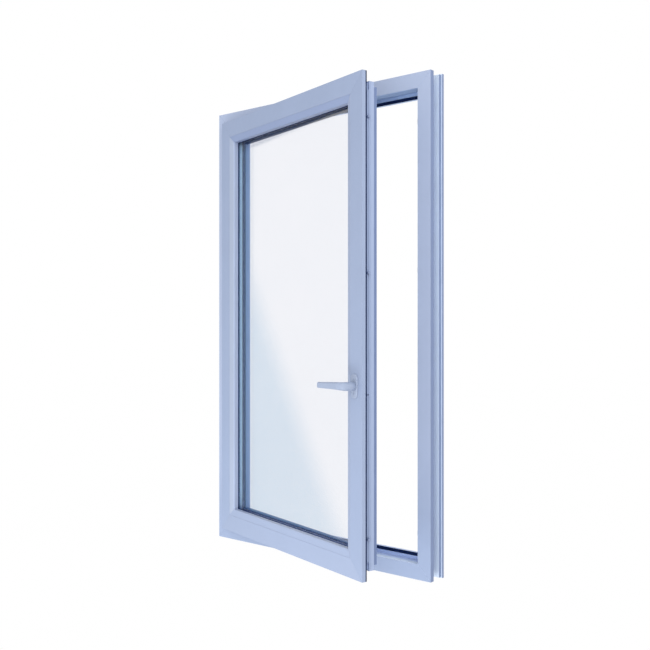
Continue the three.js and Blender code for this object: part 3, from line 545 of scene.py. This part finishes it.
def look_of(node):
    """(material, edge radius in mm) for a CAD node."""
    if node.endswith("shell"):
        if node.startswith("frame"):
            return (COAT_CHANNEL if node.endswith("outer_shell") else COAT_FRAME), SHELL_RADIUS
        if node.endswith("inner_shell"):
            return COAT_SASH[node[len("sash_"):-len("_inner_shell")]], SHELL_RADIUS
        return COAT_LEGS[node[len("sash_"):-len("_outer_shell")]], SHELL_RADIUS
    for ending, material, radius in LOOKS:
        if node.endswith(ending):
            return material, radius
    if node.startswith("glazing_bead"):
        return COAT_BEADS[node.split("_")[2]], BEAD_RADIUS
    if node.startswith("setting_block"):
        return NYLON, 0.4
    return ZINC, 0.2


for node_name, node_object in NODES.items():
    node_material, edge_radius = look_of(node_name)
    give(node_object, node_material)
    soften(node_name, edge_radius * MM)


# ---- Handle lever: a smooth loft along the CAD lever's centre line ----

LEVER_STAND_OFF = 48.0                            # the grip's middle from the sash face
LEVER_BEND = 17.0                                 # radius of the bend
LEVER_LENGTH = 110.0                              # from the spindle's axis to the tip
LEVER_NECK = 26.5                                 # diameter at the rosette
LEVER_NECK_FOOT = 4.0                             # the neck's foot from the sash face
LEVER_NECK_WAIST = 18.0                           # the neck's middle from the sash face
LEVER_GROOVE = (3.2, 3.4)                         # length of the groove at the foot, and loss of diameter
LEVER_NECK_EDGE = (0.5, 0.8)                      # length and loss of diameter of the groove's upper edge
LEVER_NECK_HEIGHT = 24.9                          # where the bend starts
LEVER_NECK_THICKNESS = 24.0                       # where the bend starts
LEVER_GRIP = (21.6, 15.0, 2.0)                    # height, thickness and lift next to the bend
LEVER_TIP = (17.0, 12.6, 0.0)
LEVER_NOSE = 1.6                                  # length of the rounded tip
LEVER_NOSE_LOSS = 2.4                             # what the nose would lose in height at its very end
LEVER_SQUARENESS = 0.42                           # 0 for an oval grip, more for a squarer one
BEND_STEPS = 16
GRIP_STEPS = 10
LEVER_RING_POINTS = 48


def between(first, last, part):
    return first + (last - first) * part


def lever_stations():
    """[inwards, out, direction, height, thickness, lift] in mm, from the rosette to the tip."""
    neck_top = LEVER_STAND_OFF - LEVER_BEND
    neck = LEVER_NECK
    groove = neck - LEVER_GROOVE[1]
    groove_end = LEVER_NECK_FOOT + LEVER_GROOVE[0]
    edge = neck - LEVER_NECK_EDGE[1]
    edge_end = groove_end + LEVER_NECK_EDGE[0]
    lift = LEVER_GRIP[2] / 4
    stations = [
        (0, LEVER_NECK_FOOT, 0, groove, groove, 0), (0, groove_end, 0, groove, groove, 0),
        (0, groove_end + 0.1, 0, edge, edge, 0), (0, edge_end, 0, neck, neck, 0),
        (0, LEVER_NECK_WAIST, 0, neck - 0.8, neck - 1.2, lift / 2),
        (0, neck_top, 0, LEVER_NECK_HEIGHT, LEVER_NECK_THICKNESS, lift),
    ]
    for step in range(1, BEND_STEPS + 1):
        part = step / BEND_STEPS
        angle = part * math.pi / 2
        inwards = LEVER_BEND * (1 - math.cos(angle))
        out = neck_top + LEVER_BEND * math.sin(angle)
        height = between(LEVER_NECK_HEIGHT, LEVER_GRIP[0], part)
        thickness = between(LEVER_NECK_THICKNESS, LEVER_GRIP[1], part)
        stations.append((inwards, out, angle, height, thickness, between(lift, LEVER_GRIP[2], part)))
    reach = LEVER_LENGTH - LEVER_NOSE - LEVER_BEND
    for step in range(1, GRIP_STEPS + 1):
        part = step / GRIP_STEPS
        height, thickness, lift = (between(*ends, part) for ends in zip(LEVER_GRIP, LEVER_TIP))
        along = LEVER_BEND + reach * part
        stations.append((along, LEVER_STAND_OFF, math.pi / 2, height, thickness, lift))
    for part in (0.35, 0.62, 0.82, 0.95, 1.0):
        shrink = LEVER_NOSE_LOSS * (1 - math.sqrt(1 - (part * 0.97) ** 2))
        along = LEVER_BEND + reach + LEVER_NOSE * part
        height, thickness = LEVER_TIP[0] - shrink, LEVER_TIP[1] - shrink
        stations.append((along, LEVER_STAND_OFF, math.pi / 2, height, thickness, 0))
    return stations


def lever_ring(station):
    """The section at one station: round in the neck, and squarer the further round the bend it is."""
    inwards, out, direction, height, thickness, lift = station
    power = 1 - LEVER_SQUARENESS * direction / (math.pi / 2)
    ring = []
    for index in range(LEVER_RING_POINTS):
        angle = 2 * math.pi * index / LEVER_RING_POINTS
        rise, spread = math.cos(angle), math.sin(angle)
        up = lift + math.copysign(abs(rise) ** power, rise) * height / 2
        side = math.copysign(abs(spread) ** power, spread) * thickness / 2
        x = inwards + side * math.cos(direction)
        z = out - side * math.sin(direction)
        ring.append(Vector((x, up, z)) * MM)
    return ring


def make_lever():
    rings = [lever_ring(station) for station in lever_stations()]
    lever = new_piece("lever", loft(rings), HANDLE_FRAME)
    smooth(lever, 50)
    give(lever, COAT_HANDLE)
    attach(lever, "handle")
    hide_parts("handle_lever")


make_lever()


# ---- Rosette: a softly domed cover over the CAD base plate ----

ROSETTE = (30.0, 70.0, 13.0)                      # across, along and corner radius
ROSETTE_HEIGHT = 3.7
ROSETTE_FILLET = 2.6
ROSETTE_FOOT = 0.35                               # shadow gap to the sash
ROSETTE_CORNER_STEPS = 10
ROSETTE_FILLET_STEPS = 8


def oblong_ring(inset, height):
    """The rosette's outline, moved in by an inset, at one height above the sash."""
    across, along, radius = ROSETTE[0] / 2 - inset, ROSETTE[1] / 2 - inset, ROSETTE[2] - inset * 0.6
    ring = []
    for corner, (side, end) in enumerate(((1, 1), (-1, 1), (-1, -1), (1, -1))):
        for step in range(ROSETTE_CORNER_STEPS + 1):
            angle = (corner + step / ROSETTE_CORNER_STEPS) * math.pi / 2
            x = side * (across - radius) + radius * math.cos(angle)
            y = end * (along - radius) + radius * math.sin(angle)
            ring.append(Vector((x, y, height)) * MM)
    return ring


def make_rosette():
    rings = [oblong_ring(0.2, ROSETTE_FOOT), oblong_ring(0, ROSETTE_FOOT + 0.3)]
    for step in range(1, ROSETTE_FILLET_STEPS + 1):
        turn = step / ROSETTE_FILLET_STEPS * math.pi / 2
        inset = 0.3 + ROSETTE_FILLET * (1 - math.cos(turn))
        rings.append(oblong_ring(inset, ROSETTE_HEIGHT - ROSETTE_FILLET * (1 - math.sin(turn))))
    rosette = new_piece("rosette", loft(rings), HANDLE_FRAME)
    smooth(rosette, 40)
    give(rosette, COAT_HANDLE)
    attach(rosette, "sash")
    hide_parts("rosette_cover")


make_rosette()


# ---- Small hardware ----

def socket_screw(name, radius, rise, matrix, body):
    """A domed screw head with a hexagon socket, sitting on Z = 0 of the matrix."""
    socket = radius * 0.42
    rings = [
        polar_ring(radius, 0), polar_ring(radius, rise * 0.45), polar_ring(radius * 0.93, rise * 0.72),
        polar_ring(radius * 0.74, rise * 0.95), polar_ring(socket * 1.3, rise),
        polar_ring(socket, rise, hexagonal=True), polar_ring(socket, rise * 0.25, hexagonal=True),
    ]
    screw = new_piece(name, loft(rings), matrix)
    smooth(screw, 40)
    give(screw, ZINC)
    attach(screw, body)


KEEP_BASE = 2 * MM                                # thickness of a keep's base
KEEP_SCREW_DEPTH = 16.5 * MM                      # from the keep's room side
KEEP_SCREW_SPACING = 18 * MM                      # from the keep's middle
FRAME_LEAF_FACE = -11.2 * MM                      # room side of a frame leaf
FRAME_LEAF_INSET = 3 * MM                         # screws from the leaf's edge
FRAME_LEAF_SPACING = 34 * MM
SASH_LEAF_FACE = 7 * MM                           # from the hinge axis, along the sash
SASH_LEAF_SCREW_DEPTH = 4 * MM                    # in front of the hinge axis
SASH_LEAF_SPACING = 36 * MM


def screws_on_keeps():
    for position in ("bottom", "middle", "top"):
        low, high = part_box(f"{position}_lock_keep")
        for side, side_name in ((-1, "lower"), (1, "upper")):
            height = (low[2] + high[2]) / 2 + side * KEEP_SCREW_SPACING
            place = Vector((high[0] - KEEP_BASE, low[1] + KEEP_SCREW_DEPTH, height))
            matrix = axes_matrix(place, UP, -INTO_ROOM, -SIDEWAYS)
            socket_screw(f"{position}_keep_screw_{side_name}", 3.4 * MM, 1.6 * MM, matrix, "frame")


def screws_on_hinges():
    """Three screws in each frame leaf, on the strip beside the knuckles, and two in each sash leaf."""
    for position in ("lower", "upper"):
        leaf_low, leaf_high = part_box(f"{position}_hinge_frame_leaf")
        height = (leaf_low[2] + leaf_high[2]) / 2
        for index in range(3):
            offset = (index - 1) * FRAME_LEAF_SPACING
            place = Vector((leaf_low[0] + FRAME_LEAF_INSET, FRAME_LEAF_FACE, height + offset))
            matrix = axes_matrix(place, SIDEWAYS, UP, INTO_ROOM)
            socket_screw(f"{position}_frame_leaf_screw_{index}", 2.2 * MM, 1.1 * MM, matrix, "frame")
        for index, side in enumerate((-1, 1)):
            place = HINGE_PLACE - TO_HINGE * SASH_LEAF_FACE - BEHIND * SASH_LEAF_SCREW_DEPTH
            place.z = height + side * SASH_LEAF_SPACING
            matrix = axes_matrix(place, UP, BEHIND, TO_HINGE)
            socket_screw(f"{position}_sash_leaf_screw_{index}", 2.4 * MM, 0.7 * MM, matrix, "sash")


screws_on_keeps()
screws_on_hinges()


# ---- Sealant round the edge of the glass unit, outside the spacer bar ----

SASH_SIZE = (824.0, 1424.0)                       # over the flange, in mm
FLANGE_CORNER = (9.0, 38.0)                       # from the hinge axis and above the frame's foot, in mm
SASH_FACE = 11.0                                  # in front of the hinge axis, in mm
SEALANT_INSETS = (61.6, 67.7)                     # from the flange's edge, in mm
SEALANT_DEPTHS = (31.2, 42.8)                     # behind the sash face, in mm


def sealant_section(far_side, top):
    """The sealant's section at one corner of the unit: inset and depth at its four corners."""
    section = []
    outer, inner = SEALANT_INSETS
    front, back = SEALANT_DEPTHS
    for inset, depth in ((outer, front), (inner, front), (inner, back), (outer, back)):
        across = FLANGE_CORNER[0] + (SASH_SIZE[0] - inset if far_side else inset)
        point = HINGE_PLACE - TO_HINGE * across * MM - BEHIND * (SASH_FACE - depth) * MM
        point.z = (FLANGE_CORNER[1] + (SASH_SIZE[1] - inset if top else inset)) * MM
        section.append(point)
    return section


def make_edge_sealant():
    rings = [sealant_section(*corner) for corner in ((0, 0), (1, 0), (1, 1), (0, 1))]
    made = loft(rings + [rings[0]], close_start=False, close_end=False)
    bmesh.ops.remove_doubles(made, verts=made.verts, dist=0.001 * MM)
    sealant = new_piece("edge_sealant", made)
    give(sealant, SEALANT)
    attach(sealant, "sash")


make_edge_sealant()


# ---- Floor, backdrop and light ----

FLOOR_HEIGHT = -1.2
FLOOR_REACH = 30


def make_floor():
    made = bmesh.new()
    bmesh.ops.create_grid(made, x_segments=1, y_segments=1, size=FLOOR_REACH)
    floor = new_piece("floor", made, Matrix.Translation((0, 0, FLOOR_HEIGHT)))
    n = Nodes("floor_paint")
    n.set(
        Base_Color=(0, 0, 0, 1), Roughness=1.0, Specular_IOR_Level=0.0,
        Emission_Color=n.ramp(n.noise(0.6), (0.998, 0.998, 0.998), (1, 1, 1)), Emission_Strength=1.0,
    )
    give(floor, n.material)


def make_world():
    world = bpy.data.worlds.new("studio")
    bpy.context.scene.world = world
    world.use_nodes = True
    background = world.node_tree.nodes["Background"]
    background.inputs["Color"].default_value = (1, 1, 1, 1)
    background.inputs["Strength"].default_value = 1.0


def area_light(name, place, target, size, power):
    """A square light that only shows by what it lights."""
    data = bpy.data.lights.new(name, "AREA")
    data.energy = power
    data.size = size
    light = bpy.data.objects.new(name, data)
    light.location = place
    light.rotation_euler = (Vector(target) - Vector(place)).to_track_quat("-Z", "Y").to_euler()
    light.visible_camera = light.visible_glossy = light.visible_transmission = False
    bpy.context.scene.collection.objects.link(light)


CARD_X = -3.4
CARD_NEAR, CARD_FAR = -2.3, -0.2                  # along Y
CARD_LOW, CARD_HIGH = -1.15, 3.4                  # along Z
SLANT_TOP, SLANT_FOOT = Vector((CARD_X, -0.88, 0.93)), Vector((CARD_X, -1.45, -0.65))
CARD_BLUE, CARD_DEEP_BLUE = (0.12, 0.42, 0.66), (0.02, 0.07, 0.22)


def make_reflector():
    """A blue card beyond the left wall, clear on one side of a slanting edge: only the glass shows it."""
    slope = (SLANT_TOP - SLANT_FOOT).normalized()
    across = Vector((0, slope.z, -slope.y))
    made = bmesh.new()
    corners = [(CARD_NEAR, CARD_LOW), (CARD_FAR, CARD_LOW), (CARD_FAR, CARD_HIGH), (CARD_NEAR, CARD_HIGH)]
    made.faces.new([made.verts.new((CARD_X, *corner)) for corner in corners])
    card = new_piece("reflector_card", made)
    n = Nodes("reflector_card")
    place = n.coordinates
    distance = n.math("SUBTRACT", n.along(place, across), SLANT_TOP.dot(across))
    slanted = n.step(distance, -0.12, 0.10)

    # Solid borders: the glass shows them along its left, top and bottom edges.
    left = n.step(n.along(place, (0, 1, 0)), -0.866, -0.846)
    top = n.step(n.along(place, (0, 0.472, 1)), 1.578, 1.588)
    foot = n.step(n.along(place, (0, 0.384, -1)), 0.20, 0.22)
    border = n.math("MAXIMUM", n.math("MAXIMUM", left, top), foot)
    deep = n.math("MAXIMUM", top, n.math("MULTIPLY", left, 0.6))
    clear = n.tree.nodes.new("ShaderNodeBsdfTransparent").outputs["BSDF"]
    glow = n.tree.nodes.new("ShaderNodeEmission")
    n.link(n.mix(deep, CARD_BLUE, CARD_DEEP_BLUE), glow.inputs["Color"])
    blend = n.tree.nodes.new("ShaderNodeMixShader")
    n.link(n.math("MAXIMUM", slanted, border), blend.inputs["Fac"])
    n.link(clear, blend.inputs[1])
    n.link(glow.outputs["Emission"], blend.inputs[2])
    n.link(blend.outputs["Shader"], n.tree.nodes["Material Output"].inputs["Surface"])
    give(card, n.material)
    card.visible_camera = card.visible_diffuse = card.visible_shadow = False


make_floor()
make_world()
make_reflector()
area_light("key", place=(1.6, -2.8, 0.6), target=(0, 0, 0.7), size=2.2, power=23)
area_light("side", place=(2.6, -1.1, 1.9), target=(0.2, 0, 0.9), size=1.4, power=15)
area_light("low", place=(0.7, -1.5, -0.75), target=(0.15, -0.2, 0.05), size=0.7, power=7)
area_light("low_left", place=(-0.5, -1.3, -0.55), target=(-0.15, -0.15, 0.05), size=0.6, power=8)
area_light("high", place=(1.7, -1.6, 2.6), target=(0.35, 0, 1.5), size=0.8, power=9)

bpy.context.scene.view_settings.view_transform = "Standard"
bpy.context.scene.view_settings.look = "None"
